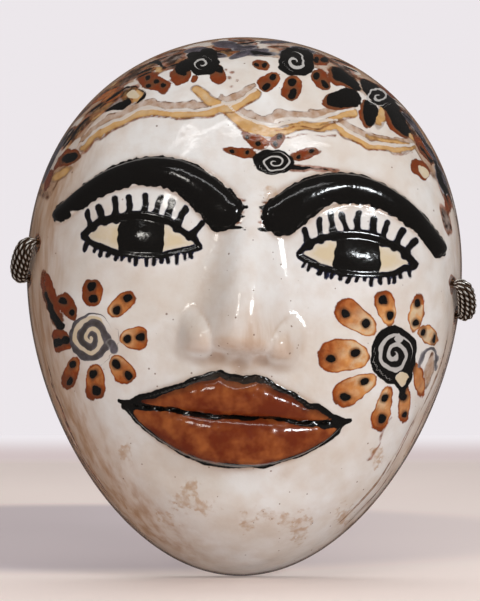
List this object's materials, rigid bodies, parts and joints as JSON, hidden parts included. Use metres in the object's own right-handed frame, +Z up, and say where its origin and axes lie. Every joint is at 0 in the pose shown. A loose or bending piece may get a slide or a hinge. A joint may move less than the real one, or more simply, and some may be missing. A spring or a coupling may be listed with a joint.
{
  "type": "ceramic wall mask",
  "caption": "Hollow glazed ceramic face mask with raised brows, nose and lips, painted flowers and silver hoops, hung on a wall.",
  "frame": {"origin": "on the flat back of the hanging web inside the crown, 11 mm above the centre of its nail hole", "axes": "+Y out of the back, square to the wall; the face looks along -Y; +Z up; +X to the viewer's right"},
  "size_m": [0.2444, 0.095, 0.285],
  "materials": {
    "glaze": "glossy, painted",
    "silver": "worn, darkened in the hollows"
  },
  "bodies": {
    "root": {"mask": "glaze", "earring_left": "silver", "earring_right": "silver"}
  },
  "joints": []
}
